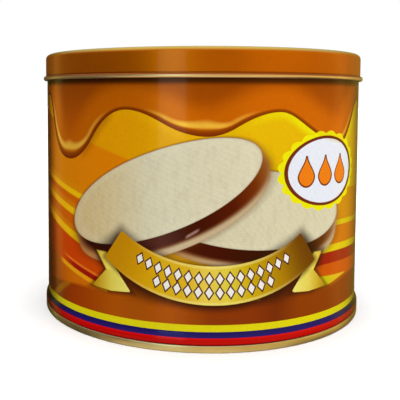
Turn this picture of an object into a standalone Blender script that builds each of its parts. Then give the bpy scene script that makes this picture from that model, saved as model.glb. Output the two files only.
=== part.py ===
"""A shut, round biscuit tin: a printed can with a slip-on lid and a seamed-on base.

Run with blender --background --python part.py, or from Blender's text editor.
Units are metres and +Z is up. The origin is the middle of the foot ring, on the surface the
tin stands on. Every piece is a profile turned about the Z axis. The filled can is one solid.
"""
import math

import bpy

# Driving dimensions, in metres.
CAN_RADIUS = 0.0750             # outside of the straight wall
TIN_HEIGHT = 0.1196             # foot ring to the top of the lid
SHEET = 0.0003                  # tinplate thickness
GAP = 0.0003                    # clearance between neighbouring pieces
LID_DEPTH = 0.0123              # top of the lid to the underside of its rolled edge
SEAM_HEIGHT = 0.0029            # foot to the top of the double seam
SEAM_PROUD = 0.0011             # how far the seam stands out from the straight wall

# Lid.
LID_INNER = CAN_RADIUS + GAP
LID_OUTER = LID_INNER + SHEET
LID_CORNER = 0.0022             # outside radius between top and skirt
CURL_HALF_WIDTH = 0.0007        # the rolled edge is a flattened round
CURL_HALF_HEIGHT = 0.0010
RIM_WIDTH = 0.0030              # flat ring round the top of the lid
PANEL_DROP = 0.0012             # sunk ring inside it
PANEL_RADIUS = 0.0600           # outside of the raised middle
PANEL_RISE = 0.0008             # how far the middle stands up again
STEP_RUN = 0.0018               # width of each pressed slope

# Can wall.
FLARE_TOP = 0.0080              # the wall starts to widen here on the way down
FLARE_BOTTOM = 0.0048           # and reaches the width of the seam here
CAN_RIM_ROUND = 0.0015          # rounded top edge, under the lid

# Base end.
SEAM_OUTER = CAN_RADIUS + SEAM_PROUD
SEAM_THICK = 0.0016
SEAM_SHOULDER = 0.0005          # rounding at the top of the seam
FOOT_ROUND = 0.0004             # rounding at the foot
BEAD_RADIUS = 0.0620            # middle of the ring pressed into the base
BEAD_HALF_WIDTH = 0.0024
BEAD_DEPTH = 0.0008

TURN_STEPS = 72
MERGE_DISTANCE = 0.00001
CREASE_ANGLE = math.radians(35)

# Finishes: display colour as 0-255 red, green and blue, then roughness and metallic.
LID_FINISH = ((186, 96, 10), 0.32, 0.75)
CAN_FINISH = ((205, 138, 24), 0.30, 0.45)
BASE_FINISH = ((206, 176, 112), 0.28, 0.90)


def linear(channel):
    """A display channel from 0 to 255 as the linear value that a shader takes."""
    value = channel / 255
    if value <= 0.04045:
        return value / 12.92
    return ((value + 0.055) / 1.055) ** 2.4


def finish_material(name, finish):
    """A Principled material of one colour, roughness and metallic value."""
    colour, roughness, metallic = finish
    material = bpy.data.materials.new(name)
    material.use_nodes = True
    shader = material.node_tree.nodes["Principled BSDF"]
    shader.inputs["Base Color"].default_value = [linear(c) for c in colour] + [1.0]
    shader.inputs["Roughness"].default_value = roughness
    shader.inputs["Metallic"].default_value = metallic
    material.diffuse_color = shader.inputs["Base Color"].default_value
    return material


def arc(centre, radii, start, end, steps):
    """Points (radius, height) on an ellipse's arc, from start to end in degrees."""
    points = []
    for index in range(steps + 1):
        angle = math.radians(start + (end - start) * index / steps)
        points.append((centre[0] + radii[0] * math.cos(angle),
                       centre[1] + radii[1] * math.sin(angle)))
    return points


def s_curve(start, end, steps, along_height=False):
    """Points of a smooth step between two places, level at both ends.

    The eased coordinate is the height of a pressed panel, or the radius of a flared wall.
    """
    points = []
    for index in range(steps + 1):
        part = index / steps
        ease = (1 - math.cos(math.pi * part)) / 2
        across, up = (ease, part) if along_height else (part, ease)
        points.append((start[0] + (end[0] - start[0]) * across,
                       start[1] + (end[1] - start[1]) * up))
    return points


def turned(name, profile, finish, collection):
    """One closed solid: the profile, from the axis at the top to the axis below, turned about Z."""
    outline = bpy.data.meshes.new(name + "_profile")
    edges = [(index, index + 1) for index in range(len(profile) - 1)]
    outline.from_pydata([(radius, 0.0, height) for radius, height in profile], edges, [])
    turner = bpy.data.objects.new(name + "_profile", outline)
    bpy.context.scene.collection.objects.link(turner)
    screw = turner.modifiers.new("turn", "SCREW")
    screw.axis = "Z"
    screw.angle = math.tau
    screw.steps = TURN_STEPS
    screw.render_steps = TURN_STEPS
    screw.use_merge_vertices = True
    screw.merge_threshold = MERGE_DISTANCE
    mesh = bpy.data.meshes.new_from_object(turner.evaluated_get(bpy.context.evaluated_depsgraph_get()))
    bpy.data.objects.remove(turner)
    bpy.data.meshes.remove(outline)
    mesh.name = name
    mesh.shade_smooth()
    mesh.set_sharp_from_angle(angle=CREASE_ANGLE)
    mesh.materials.clear()
    mesh.materials.append(finish_material(name, finish))
    piece = bpy.data.objects.new(name, mesh)
    collection.objects.link(piece)
    return piece


def lid_top(height, corner_centre):
    """The pressed top of the lid, from the axis to its rim, at the given height of the rim."""
    sunk = height - PANEL_DROP
    rim_inner = corner_centre - RIM_WIDTH
    middle = [(0.0, sunk + PANEL_RISE)]
    middle += s_curve((PANEL_RADIUS - STEP_RUN, sunk + PANEL_RISE), (PANEL_RADIUS, sunk), 3)
    rim = s_curve((rim_inner - STEP_RUN, sunk), (rim_inner, height), 3)
    return middle + rim


def lid_profile():
    """Over the top, down the skirt, round the rolled edge and back up inside, one sheet thick."""
    corner_centre = LID_OUTER - LID_CORNER
    corner_height = TIN_HEIGHT - LID_CORNER
    inner_corner = LID_CORNER - SHEET
    curl_radius = LID_INNER + CURL_HALF_WIDTH
    curl_height = TIN_HEIGHT - LID_DEPTH + CURL_HALF_HEIGHT
    curl_meets = math.degrees(math.acos((LID_OUTER - curl_radius) / CURL_HALF_WIDTH))
    outside = lid_top(TIN_HEIGHT, corner_centre)
    outside += arc((corner_centre, corner_height), (LID_CORNER, LID_CORNER), 90, 0, 4)
    outside += arc((curl_radius, curl_height), (CURL_HALF_WIDTH, CURL_HALF_HEIGHT), curl_meets, -180, 9)
    inside = lid_top(TIN_HEIGHT - SHEET, corner_centre)
    inside += arc((corner_centre, corner_height), (inner_corner, inner_corner), 90, 0, 3)
    return outside + inside[::-1]


def can_profile():
    """The filled can: a flat top with a rounded rim, a straight wall and a flared foot."""
    top = TIN_HEIGHT - PANEL_DROP - SHEET - GAP
    bottom = SEAM_HEIGHT + GAP
    rim_centre = (CAN_RADIUS - CAN_RIM_ROUND, top - CAN_RIM_ROUND)
    profile = [(0.0, top)]
    profile += arc(rim_centre, (CAN_RIM_ROUND, CAN_RIM_ROUND), 90, 0, 3)
    profile += s_curve((CAN_RADIUS, FLARE_TOP), (SEAM_OUTER, FLARE_BOTTOM), 5, along_height=True)
    profile += [(SEAM_OUTER, bottom), (0.0, bottom)]
    return profile


def base_panel(height):
    """The base's flat panel with its pressed ring, from the axis outwards, at the given height."""
    sunk = height - BEAD_DEPTH
    inner = BEAD_RADIUS - BEAD_HALF_WIDTH
    outer = BEAD_RADIUS + BEAD_HALF_WIDTH
    middle = [(0.0, height)]
    middle += s_curve((inner, height), (BEAD_RADIUS, sunk), 2)
    middle += s_curve((BEAD_RADIUS, sunk), (outer, height), 2)[1:]
    return middle


def base_profile():
    """The base end: a sheet-thick panel, sunk inside the rounded double seam that it stands on."""
    shoulder = (SEAM_OUTER - SEAM_SHOULDER, SEAM_HEIGHT - SEAM_SHOULDER)
    outer_foot = (SEAM_OUTER - FOOT_ROUND, FOOT_ROUND)
    inner_foot = (SEAM_OUTER - SEAM_THICK + FOOT_ROUND, FOOT_ROUND)
    foot_radii = (FOOT_ROUND, FOOT_ROUND)
    above = base_panel(SEAM_HEIGHT)
    above += arc(shoulder, (SEAM_SHOULDER, SEAM_SHOULDER), 90, 0, 2)
    foot = arc(outer_foot, foot_radii, 0, -90, 2) + arc(inner_foot, foot_radii, -90, -180, 2)
    below = base_panel(SEAM_HEIGHT - SHEET) + [(SEAM_OUTER - SEAM_THICK, SEAM_HEIGHT - SHEET)]
    return above + foot + below[::-1]


def clear_scene():
    """Empty the scene before the tin is made."""
    for item in list(bpy.data.objects):
        bpy.data.objects.remove(item)


def build_tin():
    """Make the three pieces of the tin in a collection of their own."""
    clear_scene()
    tin = bpy.data.collections.new("biscuit_tin")
    bpy.context.scene.collection.children.link(tin)
    turned("lid", lid_profile(), LID_FINISH, tin)
    turned("can", can_profile(), CAN_FINISH, tin)
    turned("base_end", base_profile(), BASE_FINISH, tin)


build_tin()
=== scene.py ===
import math

import bpy
import numpy as np
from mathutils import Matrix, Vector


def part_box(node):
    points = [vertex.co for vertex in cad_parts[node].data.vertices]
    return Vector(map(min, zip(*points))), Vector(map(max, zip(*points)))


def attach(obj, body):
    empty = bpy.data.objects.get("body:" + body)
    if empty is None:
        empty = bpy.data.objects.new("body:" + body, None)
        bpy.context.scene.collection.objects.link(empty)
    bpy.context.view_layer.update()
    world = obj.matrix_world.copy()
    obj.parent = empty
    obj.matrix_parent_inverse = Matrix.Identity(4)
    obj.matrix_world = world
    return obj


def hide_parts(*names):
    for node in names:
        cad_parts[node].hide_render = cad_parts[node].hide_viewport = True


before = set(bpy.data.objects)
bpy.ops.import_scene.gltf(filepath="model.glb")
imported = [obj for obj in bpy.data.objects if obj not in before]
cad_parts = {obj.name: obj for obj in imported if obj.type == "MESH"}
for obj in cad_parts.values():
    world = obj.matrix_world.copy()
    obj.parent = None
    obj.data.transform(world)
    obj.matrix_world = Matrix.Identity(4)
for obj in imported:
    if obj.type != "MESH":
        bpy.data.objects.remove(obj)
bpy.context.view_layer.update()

# ---------------------------------------------------------------------------------------------
# Can wall. A sheet of tinplate, printed flat in several inks, varnished, rolled to a tube and
# welded up one side. Translucent caramel and gold inks let the bright tin shine through, and
# the wafers stand on an opaque white ground. Inside, the tin is full.
# ---------------------------------------------------------------------------------------------

MM = 0.001
CAN_RADIUS = 75.0 * MM
FLARE_TOP = 8.0 * MM            # the wall starts to widen here on the way down
FLARE_BOTTOM = 4.8 * MM         # and is as wide as the seam here
RIM_ROUND = 1.5 * MM            # rounded top edge, under the lid
CAN_FIRST_RING = 30.0 * MM      # radius of the first ring round a hidden pole
WALL_COLUMNS = 560
WALL_ROW = 0.85 * MM
DENT_DEPTH = 0.045 * MM
WELD_ANGLE = math.radians(-90)  # from the front, positive to the right
WELD_HALF_WIDTH = 0.7 * MM
WELD_RISE = 0.16 * MM
SAME_PLACE = 0.0001 * MM        # rows of a profile that lie nearer than this are one row


def arc(centre, radii, start, end, steps):
    """Rows (radius, height) on an ellipse: centre plus radii times cosine and sine of the angle."""
    angle = np.radians(np.linspace(start, end, steps + 1))
    return np.stack([centre[0] + radii[0] * np.cos(angle), centre[1] + radii[1] * np.sin(angle)], 1)


def s_curve(start, end, steps, along_height=False):
    """Rows of a smooth step: one coordinate runs evenly, the other as half a cosine wave."""
    part = np.linspace(0, 1, steps + 1)
    ease = (1 - np.cos(np.pi * part)) / 2
    across, up = (ease, part) if along_height else (part, ease)
    return np.stack([start[0] + (end[0] - start[0]) * across, start[1] + (end[1] - start[1]) * up], 1)


def straight(start, end, steps):
    """Rows evenly spaced on a line, both ends included."""
    part = np.linspace(0, 1, steps + 1)[:, None]
    return np.array(start) * (1 - part) + np.array(end) * part


def joined(*runs):
    """Runs of rows as one profile, without the rows that repeat where two runs meet."""
    rows = np.concatenate([np.atleast_2d(run) for run in runs])
    moved = np.linalg.norm(np.diff(rows, axis=0), axis=1) > SAME_PLACE
    return rows[np.concatenate([[True], moved])]


def dents(angle, height, depth):
    """Slight unevenness of thin sheet: a sum of slow sine waves round and up the wall."""
    swell = np.sin(3 * angle + 41 * height + 0.7) + 0.7 * np.sin(7 * angle - 63 * height + 2.1)
    swell += 0.4 * np.sin(13 * angle + 97 * height + 4.0) + 0.25 * np.sin(23 * angle - 150 * height)
    highest = 1 + 0.7 + 0.4 + 0.25
    return depth * swell / highest


def placed(name, data):
    """A new object in the scene that holds a mesh, a light or a camera."""
    thing = bpy.data.objects.new(name, data)
    bpy.context.scene.collection.objects.link(thing)
    return thing


def turned(name, profile, columns, relief=None):
    """A closed turned piece: vertex = (r sin a, -r cos a, z) on a grid of angle a by profile row.

    The profile runs from the axis at the top, down the outside, to the axis below. Its first and
    last rows are single poles. relief(a, z) is added to the radius.
    """
    angle = np.arange(columns) * math.tau / columns
    radius, height = profile[1:-1].T
    rows = len(radius)
    around, up = np.meshgrid(angle, height)
    reach = radius[:, None] + (relief(around, up) if relief else 0.0)
    grid = np.stack([reach * np.sin(around), -reach * np.cos(around), up], -1).reshape(-1, 3)
    poles = np.array([[0, 0, profile[0, 1]], [0, 0, profile[-1, 1]]])
    corner = np.arange(rows * columns).reshape(rows, columns)
    beside = np.roll(corner, -1, axis=1)
    quads = np.stack([corner[:-1], corner[1:], beside[1:], beside[:-1]], -1).reshape(-1, 4)
    top = np.stack([np.full(columns, rows * columns), corner[0], beside[0]], -1)
    bottom = np.stack([np.full(columns, rows * columns + 1), beside[-1], corner[-1]], -1)
    faces = quads.tolist() + top.tolist() + bottom.tolist()
    mesh = bpy.data.meshes.new(name)
    mesh.from_pydata(np.concatenate([grid, poles]).tolist(), [], faces)
    mesh.shade_smooth()
    return placed(name, mesh)


def weld_relief(around, up):
    """Dents, plus the weld: a ridge where the sheet's edges overlap, as a smooth bump in angle."""
    away = np.abs((around - WELD_ANGLE + math.pi) % math.tau - math.pi) * CAN_RADIUS
    ridge = WELD_RISE * np.clip(1 - away / WELD_HALF_WIDTH, 0, 1) ** 0.5
    inner = np.clip((up - FLARE_BOTTOM) / (FLARE_TOP - FLARE_BOTTOM), 0, 1)
    return dents(around, up, DENT_DEPTH) * inner + ridge


def can_profile():
    """The filled can: hidden top, rounded rim, straight wall, flare, and hidden bottom."""
    low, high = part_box("can")
    foot_radius = high.x
    wall_top = high.z - RIM_ROUND
    rim = (CAN_RADIUS - RIM_ROUND, wall_top)
    rows = int((wall_top - FLARE_TOP) / WALL_ROW)
    return joined(
        (0.0, high.z),
        straight((CAN_FIRST_RING, high.z), (rim[0], high.z), 2),
        arc(rim, (RIM_ROUND, RIM_ROUND), 90, 0, 6),
        straight((CAN_RADIUS, wall_top), (CAN_RADIUS, FLARE_TOP), rows),
        s_curve((CAN_RADIUS, FLARE_TOP), (foot_radius, FLARE_BOTTOM), 14, along_height=True),
        straight((foot_radius, FLARE_BOTTOM), (foot_radius, low.z), 4),
        straight((foot_radius, low.z), (CAN_FIRST_RING, low.z), 2),
        (0.0, low.z),
    )


# The shapes of the print. It repeats twice round the can, as two panels. Its places and distances
# are in mm, across from the middle of a panel and up from the foot. Each shape is worked out at
# the wall's vertices and kept there for the material, which cuts it off at 0.
PANEL_HALF = math.pi / 2 * CAN_RADIUS / MM
FAR = 1000.0                    # further than any place on the print from any other

# Turning points of the caramel's lower edge: across, height, slope, and how strong the highlight
# inside it and the bright rim below it are there.
MELT_EDGE = np.array([
    (-87.0, 101.0, 0.0, 0.0, 0.0),
    (-79.5, 90.0, -2.6, 0.35, 0.0),
    (-62.5, 73.5, 0.0, 1.0, 0.0),
    (-46.5, 83.9, 1.42, 0.3, 0.0),
    (-30.0, 94.9, 0.0, 0.0, 0.25),
    (-14.0, 89.6, -0.55, 0.3, 0.8),
    (3.0, 84.7, 0.0, 0.75, 0.6),
    (15.0, 88.4, 0.6, 0.3, 0.2),
    (33.0, 94.2, 0.0, 0.0, 0.7),
    (45.0, 88.9, -0.62, 0.1, 1.0),
    (68.5, 80.8, 0.0, 0.35, 0.6),
    (78.0, 88.0, 1.25, 0.3, 0.5),
    (90.0, 99.0, 0.0, 0.0, 0.0),
    (113.0, 86.0, 0.0, 1.0, 0.0),
])
MELT_STEPS = 24                 # short sides of the edge between two turning points
MELT_LAP = 60                   # and how many it goes on past each end of a panel


def in_panel(across):
    """Distance round the can as distance from the middle of the nearest panel."""
    return (across + PANEL_HALF) % (2 * PANEL_HALF) - PANEL_HALF


def melt_edge():
    """The caramel's lower edge as rows: across, height, highlight, rim.

    Between two turning points the height is the cubic with their heights and slopes, and the
    highlight and the rim are eased with it.
    """
    turns = np.concatenate([MELT_EDGE, MELT_EDGE[:1] + [2 * PANEL_HALF, 0, 0, 0, 0]])
    part = (np.arange(MELT_STEPS) / MELT_STEPS)[None, :]
    start, end = turns[:-1, :, None], turns[1:, :, None]
    run = end[:, 0] - start[:, 0]
    ease = part * part * (3 - 2 * part)
    height = start[:, 1] + (end[:, 1] - start[:, 1]) * ease
    height = height + run * part * (1 - part) * ((1 - part) * start[:, 2] - part * end[:, 2])
    rows = [start[:, 0] + run * part, height]
    rows += [start[:, column] + (end[:, column] - start[:, column]) * ease for column in (3, 4)]
    return np.stack([row.ravel() for row in rows], 1)


def melt_fields(across, height):
    """Distance up from the caramel's edge, and its highlight and rim there.

    The distance is the least one to the edge's short sides, over one turn of the panel and a
    little more at each end. It is below 0 under the edge.
    """
    edge = melt_edge()
    period = np.array([2 * PANEL_HALF, 0, 0, 0])
    edge = np.concatenate([edge[-MELT_LAP:] - period, edge, edge[:MELT_LAP] + period])
    least = np.full(across.shape, FAR)
    shine, rim = np.zeros(across.shape), np.zeros(across.shape)
    for start, end in zip(edge[:-1], edge[1:]):
        run = end - start
        x, y = across - start[0], height - start[1]
        part = np.clip((x * run[0] + y * run[1]) / (run[0] ** 2 + run[1] ** 2), 0, 1)
        away = np.hypot(x - part * run[0], y - part * run[1])
        nearer = away < least
        least = np.where(nearer, away, least)
        shine = np.where(nearer, start[2] + part * run[2], shine)
        rim = np.where(nearer, start[3] + part * run[3], rim)
    level = np.interp(across, edge[:, 0], edge[:, 1])
    return np.where(height > level, least, -least), shine, rim


# Two wafer sandwiches, seen from above at a slant: the middle of the top wafer, its half sizes
# and its tilt in degrees, how far the filling and the lower wafer reach out from under it, across
# and up, and the inks of its face and of the syrup. A run of inks has rows of place, from 0 at
# one end to 1 at the other, red, green and blue.
WAFERS = {
    "back_wafer": {
        "middle": (21.8, 56.0), "half": (44.7, 15.8), "tilt": -4.9,
        "filling": (-2.4, -5.3), "lower": (-1.2, -7.7),
        "face": [(0.28, 220, 210, 172), (0.48, 220, 212, 178)],
        "syrup": [(0.0, 88, 22, 2), (0.35, 66, 8, 2), (0.6, 44, 5, 2),
                  (0.8, 66, 30, 8), (0.9, 98, 46, 6), (1.0, 150, 104, 66)],
    },
    "front_wafer": {
        "middle": (-16.9, 62.1), "half": (44.7, 16.0), "tilt": 21.8,
        "filling": (3.1, -4.4), "lower": (3.3, -7.1),
        "face": [(0.0, 210, 180, 124), (0.28, 218, 200, 152), (0.48, 224, 217, 185)],
        "syrup": [(0.0, 46, 8, 5), (0.15, 50, 8, 9), (0.45, 84, 40, 32), (0.54, 66, 16, 5),
                  (0.64, 64, 8, 2), (0.80, 84, 18, 2), (0.92, 114, 42, 3), (1.0, 144, 80, 24)],
    },
}
LOWER_PROUD = 0.1               # the lower wafer stands out this much all round


def disc_places(across, height, wafer):
    """Places in a wafer's own plane, where its rim is the unit circle: shift, turn and scale."""
    tilt = math.radians(wafer["tilt"])
    x, y = across - wafer["middle"][0], height - wafer["middle"][1]
    return ((x * math.cos(tilt) + y * math.sin(tilt)) / wafer["half"][0],
            (y * math.cos(tilt) - x * math.sin(tilt)) / wafer["half"][1])


def swept_disc(across, height, wafer, shift):
    """Distance in from the outline of a disc swept along a shift.

    In the disc's plane that is one less the distance to the shift's line, times the short half.
    The tiny number keeps a shift of nothing from dividing by 0.
    """
    u, v = disc_places(across, height, wafer)
    middle = wafer["middle"]
    du, dv = disc_places(middle[0] + shift[0], middle[1] + shift[1], wafer)
    along = np.clip((u * du + v * dv) / (du * du + dv * dv + 1e-9), 0, 1)
    return (1 - np.hypot(u - along * du, v - along * dv)) * wafer["half"][1]


# The ribbon hangs between two arcs round a middle above it. Each arc has its radius straight down
# and what is added to that at the ribbon's ends. The half angle, in degrees, is that of the ends
# at the top and at the bottom, and turn is how far round the whole ribbon stands.
RIBBON = {"middle": (6.4, 115.5), "top": (81.3, -2.5), "bottom": (96.8, -3.6),
          "turn": -0.5, "half_angle": (28.4, 29.4)}
SPREAD_MOST = 1.3               # an arc goes on changing up to this many half angles


def ribbon_fields(across, height):
    """Places on the ribbon, a band between two arcs below their middle.

    Gives the angle from straight down in degrees, the share of the way across the band, and the
    distance outside it, which is below 0 on the band. Both radii change with the angle's square.
    """
    x, y = across - RIBBON["middle"][0], height - RIBBON["middle"][1]
    angle = np.degrees(np.arctan2(x, -y))
    spread = np.clip(np.abs(angle) / RIBBON["half_angle"][1], 0, SPREAD_MOST) ** 2
    near = RIBBON["top"][0] + RIBBON["top"][1] * spread
    far = RIBBON["bottom"][0] + RIBBON["bottom"][1] * spread
    reach = np.hypot(x, y)
    beyond = np.maximum(near - reach, reach - far)
    share = (reach - near) / (far - near)
    ends = np.interp(share, (0, 1), RIBBON["half_angle"])
    sideways = np.radians(np.abs(angle - RIBBON["turn"]) - ends) * np.maximum(reach, 1)
    past_corner = (beyond > 0) & (sideways > 0)
    outside = np.where(past_corner, np.hypot(beyond, sideways), np.maximum(beyond, sideways))
    return angle, share, outside


# Corners of the ribbon's left tail, clockwise: the narrow strip that hangs from the ribbon and
# the foot that it is folded into. The right tail mirrors it in a line through the tails' middle.
LEFT_STRIP = [(-44.7, 37.0), (-39.4, 36.9), (-33.0, 28.7), (-39.0, 28.9)]
LEFT_FOOT = [(-39.3, 29.7), (-33.8, 29.7), (-27.6, 21.8), (-36.8, 21.1), (-47.1, 21.9)]
TAIL_MIDDLE = 5.7


def in_polygon(across, height, corners):
    """Distance in from a convex outline given clockwise: the least distance to its sides."""
    corners = np.array(corners)
    inside = np.full(across.shape, FAR)
    for start, end in zip(corners, np.roll(corners, -1, axis=0)):
        side = (end - start) / np.linalg.norm(end - start)
        inside = np.minimum(inside, side[1] * (across - start[0]) - side[0] * (height - start[1]))
    return inside


def tail_fields(across, height):
    """Distance in from the ribbon's strips and from its feet, each pair mirrored in the middle."""
    mirrored = 2 * TAIL_MIDDLE - across
    return [np.maximum(in_polygon(across, height, part), in_polygon(mirrored, height, part))
            for part in (LEFT_STRIP, LEFT_FOOT)]


def store(piece, name, *fields):
    """Put three numbers for each vertex on the mesh, as an attribute for its material."""
    attribute = piece.data.attributes.new(name, "FLOAT_VECTOR", "POINT")
    attribute.data.foreach_set("vector", np.stack(fields, -1).astype(np.float32).ravel())


def store_print(piece):
    """Work out every field of the print at the wall's vertices."""
    place = np.zeros(len(piece.data.vertices) * 3)
    piece.data.vertices.foreach_get("co", place)
    x, y, z = place.reshape(-1, 3).T
    across = in_panel(np.arctan2(x, -y) * CAN_RADIUS / MM)
    height = z / MM
    nothing = np.zeros(across.shape)
    store(piece, "melt", *melt_fields(across, height))
    for name, wafer in WAFERS.items():
        face = swept_disc(across, height, wafer, (0, 0))
        filling = swept_disc(across, height, wafer, wafer["filling"])
        lower = swept_disc(across, height, wafer, wafer["lower"]) + LOWER_PROUD
        store(piece, name, face, filling, lower)
        store(piece, name + "_place", *disc_places(across, height, wafer), nothing)
    store(piece, "ribbon", *ribbon_fields(across, height))
    store(piece, "tails", *tail_fields(across, height), nothing)


class Field:
    """A number all over a surface, as a shader socket that can be added, scaled and ramped."""

    def __init__(self, tree, socket):
        self.tree, self.socket = tree, socket

    def math(self, operation, *values):
        """The result of one of Blender's Math operations on this field and the given values."""
        node = self.tree.nodes.new("ShaderNodeMath")
        node.operation = operation
        for slot, value in zip(node.inputs, (self, *values)):
            plug(self.tree, slot, value)
        return Field(self.tree, node.outputs[0])

    def __add__(self, other):
        return self.math("ADD", other)

    def __sub__(self, other):
        return self.math("SUBTRACT", other)

    def __mul__(self, other):
        return self.math("MULTIPLY", other)

    def __truediv__(self, other):
        return self.math("DIVIDE", other)

    def __neg__(self):
        return self.math("MULTIPLY", -1.0)

    def __abs__(self):
        return self.math("ABSOLUTE")

    def ramp(self, low, high, start=0.0, end=1.0):
        """Eased from start to end as the field goes from low to high, and level outside them."""
        node = self.tree.nodes.new("ShaderNodeMapRange")
        node.interpolation_type = "SMOOTHSTEP"
        for slot, value in zip(node.inputs, (self, low, high, start, end)):
            plug(self.tree, slot, value)
        return Field(self.tree, node.outputs[0])

    def inside(self, soft=0.12):
        """1 where the field is above 0 and 0 below, with a soft edge that wide to each side."""
        return self.ramp(-soft, soft)

    def band(self, middle, half, soft):
        """1 within half of the middle, fading out over soft."""
        return abs(self - middle).ramp(half, half + soft, 1.0, 0.0)

    def or_more(self, other):
        """The larger of the two fields at each place: a union, where both go from 0 to 1."""
        return self.math("MAXIMUM", other)


def plug(tree, slot, value):
    """Link a field or a socket to an input, or set a plain value on it."""
    if isinstance(value, Field):
        value = value.socket
    if isinstance(value, bpy.types.NodeSocket):
        tree.links.new(value, slot)
    else:
        slot.default_value = value


def ink(red, green, blue):
    """A display colour from 0 to 255 as the linear colour that a shader takes."""
    value = np.array([red, green, blue]) / 255
    light = np.where(value <= 0.04045, value / 12.92, ((value + 0.055) / 1.055) ** 2.4)
    return (*light.tolist(), 1.0)


def blend(tree, under, over, share, mode="MIX"):
    """One colour over another by a share from 0 to 1."""
    node = tree.nodes.new("ShaderNodeMix")
    node.data_type, node.blend_type = "RGBA", mode
    plug(tree, node.inputs[0], share)
    plug(tree, node.inputs[6], under)
    plug(tree, node.inputs[7], over)
    return node.outputs[2]


def colour_run(tree, field, stops):
    """A colour read off a row of (place, colour) stops."""
    node = tree.nodes.new("ShaderNodeValToRGB")
    while len(node.color_ramp.elements) < len(stops):
        node.color_ramp.elements.new(0.5)
    for element, (place, colour) in zip(node.color_ramp.elements, stops):
        element.position, element.color = place, colour
    plug(tree, node.inputs[0], field)
    return node.outputs[0]


def ink_run(tree, field, inks):
    """A colour read off rows of place, red, green and blue."""
    return colour_run(tree, field, [(place, ink(*colour)) for place, *colour in inks])


def split(tree, vector):
    """The three numbers of a vector socket as fields."""
    apart = tree.nodes.new("ShaderNodeSeparateXYZ")
    tree.links.new(vector, apart.inputs[0])
    return [Field(tree, socket) for socket in apart.outputs]


def read(tree, name):
    """The three fields of an attribute."""
    node = tree.nodes.new("ShaderNodeAttribute")
    node.attribute_name = name
    return split(tree, node.outputs["Vector"])


def place_fields(tree):
    """Object coordinates as a vector socket and as three fields, in metres."""
    place = tree.nodes.new("ShaderNodeTexCoord").outputs["Object"]
    return place, split(tree, place)


def round_fields(x, y):
    """Distance round the can in mm, from its front and from the middle of the nearest panel."""
    round_can = x.math("ARCTAN2", -y) * (CAN_RADIUS / MM)
    return round_can, round_can.math("WRAP", PANEL_HALF, -PANEL_HALF)


def noise(tree, place, scale, detail=2.0, stretch=(1, 1, 1)):
    """Cloudy noise from 0 to 1 on object coordinates, stretched along an axis if asked."""
    shaped = tree.nodes.new("ShaderNodeMapping")
    shaped.inputs["Scale"].default_value = stretch
    tree.links.new(place, shaped.inputs["Vector"])
    node = tree.nodes.new("ShaderNodeTexNoise")
    node.inputs["Scale"].default_value = scale
    node.inputs["Detail"].default_value = detail
    tree.links.new(shaped.outputs[0], node.inputs["Vector"])
    return Field(tree, node.outputs[0])


def bump(tree, height, depth):
    """A normal tilted by a height field, whose 0 to 1 stands for that depth in metres."""
    node = tree.nodes.new("ShaderNodeBump")
    node.inputs["Strength"].default_value = 1.0
    node.inputs["Distance"].default_value = depth
    plug(tree, node.inputs["Height"], height)
    return node.outputs[0]


# The inks of the print. Where a field in mm is ramped from one number to another, those are the
# places in mm where an ink starts and where it is full.
JOINT = (-99.0, -114.0)         # here a panel's left edge turns into its neighbour's right


def panel_run(tree, across, stretch, inks):
    """A run of inks along a panel, whose last one goes on through the joint of two panels."""
    run = ink_run(tree, across.ramp(*stretch), inks)
    return blend(tree, run, ink(*inks[-1][1:]), across.ramp(*JOINT))


def streak(across, height, start, end, half, soft):
    """A slanting line through two places: 1 on it, fading out over soft at its edges."""
    slope = (end[1] - start[1]) / (end[0] - start[0])
    return (height - (across - start[0]) * slope).band(start[1], half, soft)


# Left of the wafers. The bands have where across they run, their inks, and the slanting height
# of their upper edge. The lines have a slanting height, half their width, an ink, and where
# across they fade in. The rays have a start, an end and half their width.
LEFT_SLOPE = 0.235
LEFT_BANDS = [
    ((-92, -58), [(0.0, 156, 66, 3), (0.5, 204, 94, 3), (1.0, 216, 100, 3)], (60.5, 58.5)),
    ((-92, -46), [(0.0, 140, 44, 3), (0.4, 200, 72, 3), (0.8, 214, 66, 3), (1.0, 212, 74, 3)],
     (46.5, 38.5)),
    ((-90, -56), [(0.0, 124, 38, 3), (0.6, 190, 86, 4), (1.0, 216, 112, 6)], (26.6, 25.6)),
]
LEFT_LINES = [
    (28.0, 1.1, (164, 20, 8), (-68, -58)),
    (29.9, 0.25, (240, 116, 30), (-70, -62)),
    (26.0, 0.7, (244, 166, 16), (-73, -67)),
]
LEFT_RAYS = [
    ((-78.0, 63.4), (-56.0, 58.4), 0.8),
    ((-80.0, 56.2), (-60.0, 51.2), 1.0),
    ((-80.0, 46.8), (-60.0, 41.0), 1.2),
]
RAY_INKS = [(0.0, 176, 104, 4), (0.55, 242, 172, 14), (1.0, 248, 196, 10)]
GLARE_RISE = 1.6                # a ray's soft glare lies this much above it


def left_rays(tree, colour, across, height):
    """Orange, red and brown bands, thin lines and yellow rays that slant down to the wafers.

    The bands and lines go by the height above a line that falls to the right.
    """
    slant = height + (across + 60.0) * LEFT_SLOPE
    for stretch, inks, edge in LEFT_BANDS:
        colour = blend(tree, colour, ink_run(tree, across.ramp(*stretch), inks), slant.ramp(*edge))
    for middle, half, tint, begin in LEFT_LINES:
        colour = blend(tree, colour, ink(*tint), slant.band(middle, half, 0.6) * across.ramp(*begin))
    for start, end, half in LEFT_RAYS:
        glare = streak(across, height - GLARE_RISE, start, end, half, 2.4) * across.ramp(-90, -76)
        colour = blend(tree, colour, ink(226, 142, 6), glare * 0.6)
        ray = streak(across, height, start, end, half, 0.9)
        colour = blend(tree, colour, ink_run(tree, across.ramp(-95, -60), RAY_INKS), ray)
    return colour


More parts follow.
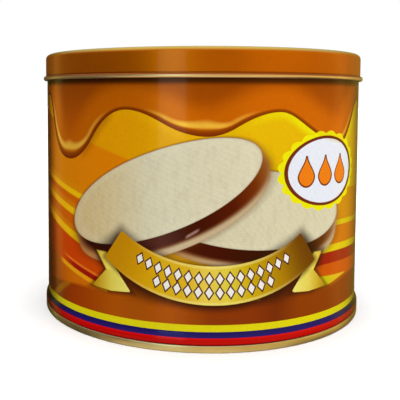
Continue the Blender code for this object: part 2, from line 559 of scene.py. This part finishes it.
# Right of the wafers: the middle of a bar, half its width and its ink, from the lowest up.
RIGHT_BARS = [
    (22.0, 4.2, (168, 82, 8)),
    (27.8, 3.1, (206, 86, 3)),
    (33.2, 2.4, (160, 20, 6)),
    (37.1, 1.4, (226, 204, 10)),
    (42.3, 3.7, (210, 120, 4)),
    (47.5, 1.0, (224, 198, 14)),
    (55.0, 6.4, (212, 142, 4)),
]
WEDGE_INKS = [(0.0, 206, 196, 14), (1.0, 232, 186, 26)]


def right_bars(tree, colour, across, height):
    """Yellow, orange and red bars that run on to the panel's right edge, with a wedge below.

    The bars dip slightly outwards. The wedge lies between a falling and a rising line.
    """
    level = height + (abs(across) - 58.0).ramp(0.0, 40.0, 0.0, 1.2)
    for middle, half, tint in RIGHT_BARS:
        colour = blend(tree, colour, ink(*tint), level.band(middle, half, 0.5))
    upper = (across - 57.0) * -0.075 + 25.7
    lower = (across - 56.0).ramp(0.0, 21.0, 21.4, 24.0)
    wedge = (upper - height).inside(0.3) * (height - lower).inside(0.3)
    wedge = wedge * across.ramp(77, 74) * across.ramp(50, 54)
    return blend(tree, colour, ink_run(tree, across.ramp(56, 74), WEDGE_INKS), wedge)


EARTH_INKS = [(0.0, 112, 44, 3), (0.10, 162, 58, 3), (0.23, 178, 84, 2), (0.30, 168, 80, 2),
              (0.41, 176, 82, 3), (0.54, 140, 55, 3), (0.66, 138, 50, 3), (0.74, 118, 42, 2),
              (0.82, 144, 60, 2), (1.0, 140, 56, 2)]


def earth(tree, colour, across, height):
    """Brown earth over the lower end of the field, with one light furrow at the left.

    Its level falls to the left and rises to the right, behind the ribbon's feet and in the joint.
    """
    brown = panel_run(tree, across, (-96, 96), EARTH_INKS)
    furrow = streak(across, height, (-77.0, 12.0), (-62.0, 21.0), 0.6, 2.0) * across.ramp(-58, -64)
    brown = blend(tree, brown, ink(176, 112, 6), furrow * 0.7)
    level = (across + 50.0).ramp(0.0, -40.0, 20.4, 17.5) + across.ramp(57, 84, 0.0, 3.0)
    level = level + abs(across - RIBBON["middle"][0]).band(32.0, 9.0, 5.0) * 7.0
    level = level + across.ramp(*JOINT) * 5.9
    return blend(tree, colour, brown, (height - level).ramp(1.0, -1.0))


GOLD_INKS = [(0.0, 235, 160, 1), (0.25, 230, 168, 3), (0.5, 234, 188, 4), (0.75, 230, 184, 4),
             (0.93, 216, 170, 6), (1.0, 222, 184, 8)]
ORANGE_INKS = [(0.0, 180, 92, 2), (0.4, 224, 132, 3), (1.0, 232, 133, 2)]
RIM_INKS = [(0.0, 240, 178, 6), (0.5, 244, 188, 16), (1.0, 238, 228, 4)]


def field_colour(tree, across, height, melt):
    """The golden field behind the wafers: folds of gold and orange, rays, and earth below.

    Past a panel's left edge the right edge of its neighbour runs on, and the two fade together.
    """
    joint = across.ramp(*JOINT)
    colour = panel_run(tree, across, (-50, 90), GOLD_INKS)
    fold = (height + (across + 47.0) * 0.30).ramp(81.4, 80.0) * across.ramp(-14, -20)
    orange = ink_run(tree, across.ramp(-95, -35), ORANGE_INKS)
    colour = blend(tree, colour, orange, fold * (-joint + 1.0))
    inside, _, rim = melt
    bright = ink_run(tree, across.ramp(-20, 30), RIM_INKS)
    colour = blend(tree, colour, bright, inside.ramp(-4.6, -0.6) * rim)
    shade = inside.ramp(-4.0, 0.0) * across.ramp(-34, -40) * across.ramp(-56, -50)
    colour = blend(tree, colour, ink(160, 84, 4), shade * 0.5)
    left = left_rays(tree, colour, across, height)
    right = right_bars(tree, colour, across, height)
    sides = blend(tree, left, right, across.ramp(-2, 2).or_more(joint))
    colour = blend(tree, colour, sides, abs(across).ramp(30, 34))
    return earth(tree, colour, across, height)


LIP_INKS = [(0.0, 124, 46, 2), (0.3, 139, 54, 2), (0.75, 164, 76, 3), (1.0, 200, 98, 3)]


def melt_colour(tree, across, height, melt):
    """The caramel: darker high up, golden near its edge, with a dark lip and a soft highlight.

    Lip and highlight go by distance up from the edge, and are widest where it hangs in a drip.
    The highlight is the lesser of a fade below its middle and a slower one above it.
    """
    inside, shine, _ = melt
    body = blend(tree, ink(163, 75, 1), ink(197, 92, 1), height.ramp(105, 84))
    body = blend(tree, body, ink(212, 108, 2), inside.ramp(15, 6) * 0.85)
    lip = inside / (shine * 1.9 + 1.6)
    body = blend(tree, body, ink_run(tree, lip, LIP_INKS), lip.ramp(0.6, 1.1, 1.0, 0.0))
    away = inside - shine * 4.0 - 1.1
    below = (-away / (shine * 1.7 + 0.3)).ramp(0.15, 1.0, 1.0, 0.0)
    above = (away / (shine * 3.4 + 0.6)).ramp(0.10, 1.0, 1.0, 0.0)
    highlight = below.math("MINIMUM", above) * shine.ramp(0.08, 0.5)
    body = blend(tree, body, ink(252, 194, 66), highlight)
    # Painted shade: the caramel darkens towards the panel's right edge and through the joint.
    edges = across.ramp(66.0, 84.0).or_more(across.ramp(*JOINT))
    return blend(tree, body, ink(226, 206, 150), edges, "MULTIPLY")


WAFFLE_LINES = 95.0             # radians of the lines' wave from the middle to the rim
CRUST_INKS = [(0.0, 186, 126, 66), (0.2, 184, 138, 82), (0.5, 208, 184, 146), (1.0, 192, 166, 124)]


def waffle(places):
    """The fine crossed lines pressed into a wafer, in its own plane: 1 on a line, 0 between."""
    u, v = places[0] * WAFFLE_LINES, places[1] * WAFFLE_LINES
    crossed = [(u + v * 0.35).math("SINE"), (v - u * 0.35).math("SINE")]
    return crossed[0].or_more(crossed[1]).ramp(0.2, 1.0)


def print_wafer(tree, under, place, name):
    """A wafer sandwich over the print below: lower wafer, filling, and the top wafer's face.

    The inks of each change along the wafer, and each has a darker rim. The wafer's shadow falls
    below its lower half.
    """
    top, filling, lower = read(tree, name)
    places = read(tree, name + "_place")
    along = places[0] * 0.5 + 0.5
    face = ink_run(tree, places[0] * 0.45 + places[1] * -0.06 + 0.5, WAFERS[name]["face"])
    pores = noise(tree, place, 420, 2.0, (1.0, 1.0, 0.45)).ramp(0.45, 0.7, 0.0, 0.10)
    face = blend(tree, face, ink(150, 120, 80), waffle(places) * 0.07 + pores)
    face = blend(tree, face, ink(232, 226, 200), top.band(1.0, 0.5, 1.0) * 0.16)
    face = blend(tree, face, ink(176, 150, 108), top.ramp(0.0, 0.6, 0.30, 0.0))
    syrup = ink_run(tree, along, WAFERS[name]["syrup"])
    syrup = blend(tree, syrup, ink(150, 84, 44), filling.ramp(0.2, 1.3, 0.40, 0.0))
    crust = ink_run(tree, along, CRUST_INKS)
    crust = blend(tree, crust, ink(150, 106, 64), lower.ramp(0.0, 0.6, 0.3, 0.0))
    shadow = lower.ramp(-2.2, 0.0, 0.0, 0.35) * places[1].ramp(0.3, -0.3)
    colour = blend(tree, under, ink(90, 40, 8), shadow)
    colour = blend(tree, colour, crust, lower.inside())
    colour = blend(tree, colour, syrup, filling.ramp(-1.1, 0.6))
    colour = blend(tree, colour, face, top.inside())
    return colour, lower.inside()


def syrup_gleam(across, height):
    """A short gleam on the syrup, where the front wafer lies over the back one."""
    line = streak(across, height, (-5.0, 45.4), (0.0, 48.4), 0.15, 0.8)
    return line * across.ramp(-5.6, -4.0) * across.ramp(0.8, -1.0)


RIBBON_INKS = [(0.0, 198, 136, 5), (0.09, 214, 158, 8), (0.18, 222, 174, 12), (0.32, 224, 180, 26),
               (0.46, 236, 206, 78), (0.60, 228, 206, 64), (0.73, 208, 174, 12),
               (0.84, 190, 148, 10), (0.92, 172, 124, 5), (1.0, 110, 62, 3)]
STRIP_INKS = [(0.0, 232, 212, 100), (0.5, 244, 222, 90), (1.0, 222, 186, 60)]
FOOT_INKS = [(0.0, 238, 226, 112), (0.45, 228, 208, 84), (0.8, 208, 170, 40), (1.0, 180, 134, 20)]
# Rows of lozenges: the share of the way across the ribbon, degrees apart, and how many each side.
LOZENGE_ROWS = [(0.33, 2.75, 8), (0.68, 2.65, 6)]
LOZENGE_SLOPES = (2.1, 5.0)     # how fast its size grows along the ribbon and across


def lozenges(tree, colour, angle, share):
    """Two rows of plain white lozenges with dark edges along the ribbon.

    A lozenge is where the distances from its middle, along and across, each times its slope,
    add up to under 1. Under 0.7 it is white.
    """
    for middle, pitch, count in LOZENGE_ROWS:
        step = (angle / pitch).math("FRACT") - 0.5
        size = abs(step) * LOZENGE_SLOPES[0] + abs(share - middle) * LOZENGE_SLOPES[1]
        there = (-abs(angle) + pitch * count).inside(0.05)
        colour = blend(tree, colour, ink(78, 42, 34), size.ramp(0.98, 1.06, 1.0, 0.0) * there)
        colour = blend(tree, colour, ink(244, 238, 232), size.ramp(0.66, 0.72, 1.0, 0.0) * there)
    return colour


def print_ribbon(tree, colour, across):
    """The gold ribbon, its tails and its soft shadow, with two rows of lozenges along it.

    The shadow reaches furthest below the ribbon's ends, and the hem is a light line along both
    of its long edges. The tails go by distance from their middle.
    """
    angle, share, outside = read(tree, "ribbon")
    strip, foot, _ = read(tree, "tails")
    band, tail = (-outside).inside(), strip.or_more(foot)
    reach = abs(angle).ramp(8.0, 20.0, 4.0, 8.5) * share.ramp(0.0, 1.0, 0.5, 1.0)
    shadow = (outside / reach).ramp(1.0, 0.0) * share.ramp(-0.3, 0.3, 0.4, 0.92)
    colour = blend(tree, colour, ink(44, 10, 6), shadow)
    colour = blend(tree, colour, ink(56, 14, 6), tail.ramp(-2.4, 0.0) * 0.7)
    away = abs(across - TAIL_MIDDLE)
    colour = blend(tree, colour, ink_run(tree, away.ramp(38, 51), STRIP_INKS), strip.inside())
    colour = blend(tree, colour, ink(120, 88, 20), strip.band(0.15, 0.1, 0.25) * 0.5)
    colour = blend(tree, colour, ink_run(tree, away.ramp(32, 54), FOOT_INKS), foot.inside())
    under_band = outside.ramp(2.6, 0.0) * tail.inside() * 0.75
    colour = blend(tree, colour, ink(96, 64, 10), under_band)
    half = sum(RIBBON["half_angle"]) / 2
    face = ink_run(tree, (angle - RIBBON["turn"]).ramp(-half, half), RIBBON_INKS)
    hem = abs(share - 0.5).band(0.465, 0.018, 0.03) * abs(angle).ramp(27, 6)
    face = blend(tree, face, ink(250, 238, 140), hem * 0.45)
    colour = blend(tree, colour, face, band)
    return lozenges(tree, colour, angle, share), band.or_more(tail.inside())


# The seal's middle and half sizes, the widths of its yellow edge and its ring, and its scallops.
# The drops' distance apart, their round foot's height and radius, where they narrow and are cut
# off, and how far their dark outline stands out and their light middle in.
SEAL = {"middle": (57.2, 70.0), "half": (22.5, 14.4), "edge": 0.9, "ring": 1.2,
        "scallops": 20, "scallop_depth": 1.2}
DROPS = {"apart": 11.2, "foot": -1.6, "radius": 4.2, "narrow": (-2.4, 6.6), "cut": 6.5,
         "outline": 0.6, "inset": 0.1}


def print_seal(tree, colour, across, height):
    """A plain oval seal: a scalloped yellow edge, a brown ring, and three drops on a white ground.

    The distance out of the oval is the length of (x, y) over its half sizes, less 1, times the
    short half. A drop lies round an upright line that ends at its foot: it is a radius that
    narrows upwards, less the distance from that line.
    """
    x, y = across - SEAL["middle"][0], height - SEAL["middle"][1]
    u, v = x / SEAL["half"][0], y / SEAL["half"][1]
    away = ((u * u + v * v).math("SQRT") - 1.0) * SEAL["half"][1]
    wave = abs((v.math("ARCTAN2", u) * (SEAL["scallops"] / 2)).math("SINE"))
    patch = (wave * SEAL["scallop_depth"] - away + SEAL["edge"]).inside()
    colour = blend(tree, colour, ink(238, 232, 6), patch)
    colour = blend(tree, colour, ink(112, 38, 18), (-away).inside())
    colour = blend(tree, colour, ink(232, 236, 246), (-away - SEAL["ring"]).inside())
    beside = x.math("WRAP", DROPS["apart"] / 2, -DROPS["apart"] / 2)
    below = y.math("MINIMUM", DROPS["foot"]) - DROPS["foot"]
    radius = y.ramp(*DROPS["narrow"], 1.0, 0.0) * DROPS["radius"]
    drop = radius - (beside * beside + below * below).math("SQRT")
    three = x.band(0.0, 1.5 * DROPS["apart"] - 0.1, 0.2) * (-y + DROPS["cut"]).inside()
    colour = blend(tree, colour, ink(120, 44, 14), (drop + DROPS["outline"]).inside() * three)
    return blend(tree, colour, ink(238, 126, 18), (drop - DROPS["inset"]).inside() * three), patch


# Stripes round the foot, from the top down: upper edge, ink, and a darker ink at a panel's sides,
# which is painted shade.
STRIPES = [(10.9, (224, 211, 12), (200, 190, 10)),
           (8.15, (24, 14, 86), (24, 6, 42)),
           (5.9, (190, 2, 3), (132, 1, 2))]


def stripes(tree, colour, across, height):
    """Plain yellow, blue and red stripes, each over the one above, and where they are."""
    side = abs(across).ramp(50.0, 90.0)
    for edge, tint, side_shaded in STRIPES:
        # Towards a panel's sides each stripe takes its darker ink: painted shade.
        both = blend(tree, ink(*tint), ink(*side_shaded), side)
        colour = blend(tree, colour, both, (-height + edge).inside())
    return colour, (-height + STRIPES[0][0]).inside()


def painted_edge_shade(across, height):
    """How far painted shade darkens the print towards a panel's edges. At the left it starts sooner
    low down.
    """
    start, full = height.ramp(10.0, 60.0, -62.0, -77.0), height.ramp(10.0, 60.0, -92.0, -90.0)
    return across.ramp(74.0, 95.0).or_more(across.ramp(start, full))


def new_material(name):
    """A new material, its tree of nodes and its shader."""
    material = bpy.data.materials.new(name)
    material.use_nodes = True
    return material, material.node_tree, material.node_tree.nodes["Principled BSDF"]


def varnished(name):
    """A new material with a hard clear varnish over whatever is printed below."""
    material, tree, shader = new_material(name)
    shader.inputs["Specular IOR Level"].default_value = 0.05
    shader.inputs["Coat Weight"].default_value = 0.15
    shader.inputs["Coat Roughness"].default_value = 0.05
    shader.inputs["Coat IOR"].default_value = 1.5
    return material, tree, shader


def mottled(tree, colour, place, tint):
    """The faint grain of ink laid on metal: a little of a darker tint, by fine noise."""
    return blend(tree, colour, tint, noise(tree, place, 900, 3.0).ramp(0.35, 0.75, 0.0, 0.06))


def finish_varnish(tree, shader, place, smooth, rough):
    """Gloss that varies in faint upright streaks, and the orange peel of rolled-on varnish."""
    streaks = noise(tree, place, 60, 3.0, (1, 1, 0.25))
    plug(tree, shader.inputs["Roughness"], streaks.ramp(0.2, 0.8, smooth, rough))
    peel = bump(tree, noise(tree, place, 700, 1.0), 0.004 * MM)
    plug(tree, shader.inputs["Normal"], peel)
    plug(tree, shader.inputs["Coat Normal"], peel)


WELD_STRIP = 2.3                # half the width left bare of print over the weld
LID_EDGE = 107.0                # painted shadow of the lid's lower edge on the wall reaches up to here


def printed_tin():
    """The whole print on bright tinplate: metallic under translucent ink, dull under white, with
    painted shade at the panels' edges and a painted shadow under the lid.
    """
    material, tree, shader = varnished("printed_tinplate")
    place, (x, y, z) = place_fields(tree)
    round_can, across = round_fields(x, y)
    height = z * (1 / MM)
    melt = read(tree, "melt")
    melted = melt[0].inside()
    colour = field_colour(tree, across, height, melt)
    colour, back = print_wafer(tree, colour, place, "back_wafer")
    colour, front = print_wafer(tree, colour, place, "front_wafer")
    colour = blend(tree, colour, ink(196, 150, 138), syrup_gleam(across, height) * 0.6)
    colour = blend(tree, colour, melt_colour(tree, across, height, melt), melted)
    colour, seal = print_seal(tree, colour, across, height)
    colour, ribbon = print_ribbon(tree, colour, across)
    colour, foot = stripes(tree, colour, across, height)
    # Painted shade: the print darkens towards the panels' edges.
    colour = blend(tree, colour, ink(142, 120, 112), painted_edge_shade(across, height), "MULTIPLY")
    colour = mottled(tree, colour, place, ink(60, 28, 6))
    bare = (round_can - WELD_ANGLE * CAN_RADIUS / MM).band(0.0, WELD_STRIP, 0.2)
    colour = blend(tree, colour, ink(206, 204, 198), bare)
    # Painted shadow: the print darkens just under the lid's edge.
    lid_shade = height.ramp(LID_EDGE - 3.0, LID_EDGE - 0.6, 0.0, 0.82)
    colour = blend(tree, colour, ink(16, 5, 1), lid_shade)
    plug(tree, shader.inputs["Base Color"], colour)
    opaque = front.or_more(back).or_more(seal) * melt[0].ramp(-0.1, 0.1, 1.0, 0.0)
    opaque = opaque.or_more(ribbon).or_more(foot)
    metal = (melted * 0.18 + 0.14) * (opaque * -0.75 + 1.0)
    plug(tree, shader.inputs["Metallic"], metal.or_more(bare))
    finish_varnish(tree, shader, place, 0.20, 0.26)
    return material


can_wall = turned("can_wall", can_profile(), WALL_COLUMNS, weld_relief)
store_print(can_wall)
can_wall.data.materials.append(printed_tin())
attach(can_wall, "root")
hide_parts("can")

# ---------------------------------------------------------------------------------------------
# Base end. A disc of gold lacquered tinplate, pressed with a ring for stiffness, whose edge is
# folded over the can's flared edge and rolled flat into a double seam that the tin stands on.
# ---------------------------------------------------------------------------------------------

SHEET = 0.3 * MM
SEAM_SHOULDER = 0.55 * MM       # rounding at the top of the seam
SEAM_THICK = 1.6 * MM
FOOT_ROUND = 0.40 * MM          # rounding at the foot, outside and inside
PANEL_ROUND = 0.6 * MM          # rounding where the panel meets the seam from below
BASE_BEAD = 62.0 * MM           # radius of the pressed ring
BASE_BEAD_HALF = 2.4 * MM
BASE_BEAD_DEPTH = 0.8 * MM
BASE_FIRST_RING = 20.0 * MM
BASE_COLUMNS = 360


def pressed_panel(height):
    """The panel from the axis outwards: flat, then a smooth step down and another back up."""
    inner, outer = BASE_BEAD - BASE_BEAD_HALF, BASE_BEAD + BASE_BEAD_HALF
    sunk = (BASE_BEAD, height - BASE_BEAD_DEPTH)
    return joined((0.0, height), straight((BASE_FIRST_RING, height), (inner, height), 2),
                  s_curve((inner, height), sunk, 8), s_curve(sunk, (outer, height), 8))


def base_profile():
    """Over the hidden top of the base, round the seam and the foot, and in under the panel."""
    low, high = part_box("base_end")
    outer, top, under = high.x, high.z, high.z - SHEET
    inner = outer - SEAM_THICK
    foot = low.z + FOOT_ROUND
    return joined(
        pressed_panel(top),
        arc((outer - SEAM_SHOULDER, top - SEAM_SHOULDER), (SEAM_SHOULDER, SEAM_SHOULDER), 90, 0, 6),
        arc((outer - FOOT_ROUND, foot), (FOOT_ROUND, FOOT_ROUND), 0, -90, 5),
        arc((inner + FOOT_ROUND, foot), (FOOT_ROUND, FOOT_ROUND), -90, -180, 5),
        arc((inner - PANEL_ROUND, under - PANEL_ROUND), (PANEL_ROUND, PANEL_ROUND), 0, 90, 4),
        pressed_panel(under)[::-1],
    )


def gold_lacquer():
    """Thin gold lacquer on tinplate, with faint rolling lines, fine rubbed spots, and painted shade
    towards the panels' edges.
    """
    material, tree, shader = varnished("gold_lacquer")
    place, (x, y, z) = place_fields(tree)
    cloud = noise(tree, place, 35, 4.0)
    colour = blend(tree, ink(218, 202, 160), ink(196, 178, 132), cloud.ramp(0.3, 0.7))
    rub = noise(tree, place, 420, 2.0).ramp(0.68, 0.76) * z.ramp(1.6 * MM, 0.0, 0.0, 0.35)
    colour = blend(tree, colour, ink(208, 204, 196), rub)
    _, across = round_fields(x, y)
    # Painted shade: the seam darkens towards a panel's edges.
    colour = blend(tree, colour, ink(188, 172, 160), abs(across).ramp(62.0, 90.0), "MULTIPLY")
    plug(tree, shader.inputs["Base Color"], colour)
    shader.inputs["Metallic"].default_value = 0.94
    plug(tree, shader.inputs["Roughness"], noise(tree, place, 90, 3.0).ramp(0.2, 0.8, 0.24, 0.36))
    rolling = bump(tree, noise(tree, place, 1500, 2.0, (1, 0.04, 1)), 0.003 * MM)
    plug(tree, shader.inputs["Normal"], rolling)
    return material


base_end = turned("base_seam", base_profile(), BASE_COLUMNS)
base_end.data.materials.append(gold_lacquer())
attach(base_end, "root")
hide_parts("base_end")

# ---------------------------------------------------------------------------------------------
# Lid. A shallow cap pressed from one disc of tinplate in caramel orange ink. Its top has a
# raised rim and a raised middle, and the skirt's lower edge is rolled outwards, which wears the
# ink off the roll and leaves it bright.
# ---------------------------------------------------------------------------------------------

LID_GAP = 0.3 * MM              # clearance over the can
LID_INNER = CAN_RADIUS + LID_GAP
LID_OUTER = LID_INNER + SHEET
LID_CORNER = 2.2 * MM           # outside radius between top and skirt
CURL_HALF_WIDTH = 0.7 * MM      # the rolled edge is a flattened round
CURL_HALF_HEIGHT = 1.0 * MM
LID_RIM = 3.0 * MM              # width of the flat ring round the top
LID_DROP = 1.2 * MM             # how far the ring inside it is sunk
LID_PANEL = 60.0 * MM           # outside of the raised middle
LID_RISE = 0.8 * MM             # how far the middle stands up again
LID_STEP = 1.8 * MM             # width of each pressed slope
LID_FIRST_RING = 15.0 * MM
LID_COLUMNS = 480


def lid_top(height, corner):
    """The pressed top from the axis to the rim: raised middle, sunk ring, raised rim."""
    sunk = height - LID_DROP
    raised = sunk + LID_RISE
    slope = LID_PANEL - LID_STEP
    rim = corner - LID_RIM
    return joined((0.0, raised), straight((LID_FIRST_RING, raised), (slope, raised), 5),
                  s_curve((slope, raised), (LID_PANEL, sunk), 8),
                  straight((LID_PANEL, sunk), (rim - LID_STEP, sunk), 3),
                  s_curve((rim - LID_STEP, sunk), (rim, height), 8))


def lid_profile():
    """Over the top, down the skirt, round the rolled edge and up inside, one sheet thick."""
    low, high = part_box("lid")
    corner = (LID_OUTER - LID_CORNER, high.z - LID_CORNER)
    curl = (LID_INNER + CURL_HALF_WIDTH, low.z + CURL_HALF_HEIGHT)
    curl_top = curl[1] + CURL_HALF_HEIGHT
    meets = math.degrees(math.acos((LID_OUTER - curl[0]) / CURL_HALF_WIDTH))
    inner = LID_CORNER - SHEET
    outside = joined(lid_top(high.z, corner[0]), arc(corner, (LID_CORNER, LID_CORNER), 90, 0, 12),
                     straight((LID_OUTER, corner[1]), (LID_OUTER, curl_top), 10),
                     arc(curl, (CURL_HALF_WIDTH, CURL_HALF_HEIGHT), meets, -180, 18))
    inside = joined(lid_top(high.z - SHEET, corner[0]), arc(corner, (inner, inner), 90, 0, 6))
    return joined(outside, inside[::-1])


def lid_relief(around, up):
    """Dents in the skirt, as of thin sheet, turned so that they don't repeat the wall's."""
    return dents(around + 1.3, up, DENT_DEPTH)


def lid_ink():
    """Translucent caramel orange ink on tinplate, rubbed thin along the rolled edge and rims, with
    painted shade in the groove and a painted highlight on the top corner.

    The roll and the groove above it go by height, the corner by height and radius together.
    """
    material, tree, shader = varnished("lid_ink")
    place, (x, y, z) = place_fields(tree)
    low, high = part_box("lid")
    cloud = noise(tree, place, 28, 3.0)
    colour = blend(tree, ink(194, 103, 1), ink(184, 94, 1), cloud.ramp(0.3, 0.7))
    colour = mottled(tree, colour, place, ink(70, 30, 4))
    roll = z.ramp(low.z + 1.6 * MM, low.z + 0.9 * MM)
    groove = z.band(low.z + 1.9 * MM, 0.4 * MM, 0.5 * MM)
    bend = LID_OUTER - LID_CORNER
    reach = (x * x + y * y).math("SQRT").ramp(bend - 0.3 * MM, bend + 0.3 * MM)
    corner = z.ramp(high.z - 1.7 * MM, high.z - 0.6 * MM) * reach
    # The corner's paler ink is partly rubbed ink and partly a painted highlight.
    colour = blend(tree, colour, ink(170, 150, 62), corner * 0.9)
    # Painted shade in the groove above the roll.
    colour = blend(tree, colour, ink(120, 58, 3), groove * 0.8)
    colour = blend(tree, colour, ink(232, 206, 166), roll * 0.95)
    plug(tree, shader.inputs["Base Color"], colour)
    plug(tree, shader.inputs["Metallic"], roll * 0.24 + 0.68)
    finish_varnish(tree, shader, place, 0.28, 0.36)
    return material


lid_cap = turned("lid_cap", lid_profile(), LID_COLUMNS, lid_relief)
lid_cap.data.materials.append(lid_ink())
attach(lid_cap, "root")
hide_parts("lid")

# ---------------------------------------------------------------------------------------------
# Studio. A plain white table, a white tent whose upright panels show in the varnish, and one
# soft box at the right that doesn't. The camera looks almost level, from lid height.
# ---------------------------------------------------------------------------------------------

TABLE_RADIUS = 6.0
TABLE_CORNERS = 96


def table():
    """A round table top, far wider than the view: one flat face with its corners on a circle."""
    angle = np.linspace(0, math.tau, TABLE_CORNERS, endpoint=False)
    ring = np.stack([np.cos(angle), np.sin(angle), angle * 0], 1) * TABLE_RADIUS
    mesh = bpy.data.meshes.new("table")
    mesh.from_pydata(ring.tolist(), [], [list(range(TABLE_CORNERS))])
    top = placed("table", mesh)
    material, _, shader = new_material("table_white")
    shader.inputs["Base Color"].default_value = (0.75, 0.75, 0.75, 1.0)
    shader.inputs["Roughness"].default_value = 0.6
    shader.inputs["Specular IOR Level"].default_value = 0.2
    mesh.materials.append(material)
    top.visible_glossy = False
    top.visible_diffuse = False


# The tent's upright panels as reflections show them: azimuth from the front in degrees, positive
# to the right, how bright, and tint. The colours between two rows run together.
WARM = (1.0, 0.72, 0.12)
OLIVE = (0.95, 0.80, 0.16)
TENT_PANELS = [
    (-180, 0.08, WARM), (-132, 0.07, WARM), (-129, 0.62, OLIVE), (-121, 0.62, OLIVE),
    (-117, 0.13, WARM), (-44, 0.18, WARM), (-28, 0.32, WARM), (-9, 0.66, WARM),
    (24, 0.66, WARM), (40, 0.98, WARM), (95, 0.92, WARM), (104, 0.75, WARM),
    (108, 1.15, WARM), (118, 1.15, WARM), (122, 0.60, WARM), (180, 0.15, WARM),
]
PANEL_TOP = 1.2                 # a colour run holds only up to 1, so it holds shares of this
WINDOW_LIGHT = (1.65, 2.35, 2.15, 1.0)
WINDOW_AZIMUTH = -19.0
WINDOW_HALF = 8.5
ROOF_LOW, ROOF_HIGH = 0.8, 1.5
GROUND_SIDE, GROUND_FRONT = 0.05, 0.95
GROUND_TINT = (1.0, 0.84, 0.50, 1.0)
SKY_LOW, SKY_MIDDLE, SKY_HIGH = 0.25, 0.98, 2.5


def grey(tree, field):
    """A field as a grey colour."""
    node = tree.nodes.new("ShaderNodeCombineColor")
    for slot in node.inputs:
        plug(tree, slot, field)
    return node.outputs[0]


def tent():
    """White to the camera. Diffuse light comes mostly from above, and reflections show panels.

    By its azimuth a direction meets a panel, or the window strip over it. By its height, z, the
    panels run into a roof above and a ground below, which is brightest in front, at low y.
    """
    world = bpy.data.worlds.new("tent")
    bpy.context.scene.world = world
    world.cycles.sampling_method = "NONE"
    world.use_nodes = True
    tree = world.node_tree
    tree.nodes.clear()
    seen = tree.nodes.new("ShaderNodeLightPath")
    x, y, z = split(tree, tree.nodes.new("ShaderNodeTexCoord").outputs["Generated"])
    azimuth = x.math("ARCTAN2", -y) / math.tau
    stops = [(place / 360 + 0.5, (*[bright * share / PANEL_TOP for share in tint], 1.0))
             for place, bright, tint in TENT_PANELS]
    walls = colour_run(tree, azimuth + 0.5, stops)
    walls = blend(tree, walls, (PANEL_TOP, PANEL_TOP, PANEL_TOP, 1.0), 1.0, "MULTIPLY")
    window = (azimuth * 360.0).band(WINDOW_AZIMUTH, WINDOW_HALF, 2.0) * z.ramp(-0.12, -0.03, 0.25, 1.0)
    walls = blend(tree, walls, WINDOW_LIGHT, window)
    roof = grey(tree, z.ramp(0.6, 0.9, ROOF_LOW, ROOF_HIGH))
    ground = grey(tree, y.ramp(-0.10, -0.55, GROUND_SIDE, GROUND_FRONT))
    ground = blend(tree, ground, GROUND_TINT, 1.0, "MULTIPLY")
    mirrored = blend(tree, blend(tree, walls, roof, z.ramp(0.35, 0.62)), ground, z.ramp(-0.26, -0.40))
    sky = z.ramp(-0.05, 0.10, SKY_LOW, SKY_MIDDLE) + z.ramp(0.5, 0.7, 0.0, SKY_HIGH - SKY_MIDDLE)
    light = blend(tree, grey(tree, sky), mirrored, Field(tree, seen.outputs["Is Glossy Ray"]))
    light = blend(tree, light, (1, 1, 1, 1), Field(tree, seen.outputs["Is Camera Ray"]))
    back = tree.nodes.new("ShaderNodeBackground")
    plug(tree, back.inputs["Color"], light)
    out = tree.nodes.new("ShaderNodeOutputWorld")
    tree.links.new(back.outputs[0], out.inputs[0])


def soft_box(name, azimuth, distance, middle, size, power):
    """An upright soft box facing the tin, at an azimuth from the front, positive to the right."""
    light = bpy.data.lights.new(name, "AREA")
    light.shape = "RECTANGLE"
    light.size, light.size_y = size
    light.energy = power
    lamp = placed(name, light)
    turn = math.radians(azimuth)
    lamp.location = (distance * math.sin(turn), -distance * math.cos(turn), middle)
    lamp.rotation_euler = (math.radians(90), 0.0, turn)
    lamp.visible_camera = False
    lamp.visible_glossy = False


FOCAL_PIXELS = 658.6            # focal length in pixels of the photograph
FRAME_PIXELS = 400
SENSOR_WIDTH = 36.0
CAMERA_PLACE = (0.00209, -0.3282, 0.1003)
CAMERA_PITCH = 3.47             # degrees down from level
CAMERA_YAW = 3.90               # degrees to the left
CAMERA_ROLL = -0.2
CAMERA_SHIFT = (0.10, -0.16)


def camera():
    """The photograph's view: nearly level, the frame shifted a little to the right and down."""
    data = bpy.data.cameras.new("camera")
    data.sensor_width = SENSOR_WIDTH
    data.lens = FOCAL_PIXELS * SENSOR_WIDTH / FRAME_PIXELS
    data.shift_x, data.shift_y = CAMERA_SHIFT
    data.clip_start = 0.01
    eye = placed("camera", data)
    eye.location = CAMERA_PLACE
    turn = (90 - CAMERA_PITCH, CAMERA_ROLL, CAMERA_YAW)
    eye.rotation_euler = [math.radians(angle) for angle in turn]
    bpy.context.scene.camera = eye


table()
tent()
soft_box("key_right", azimuth=55.0, distance=0.95, middle=0.50, size=(0.70, 1.0), power=3.0)
camera()
bpy.context.scene.view_settings.view_transform = "Standard"
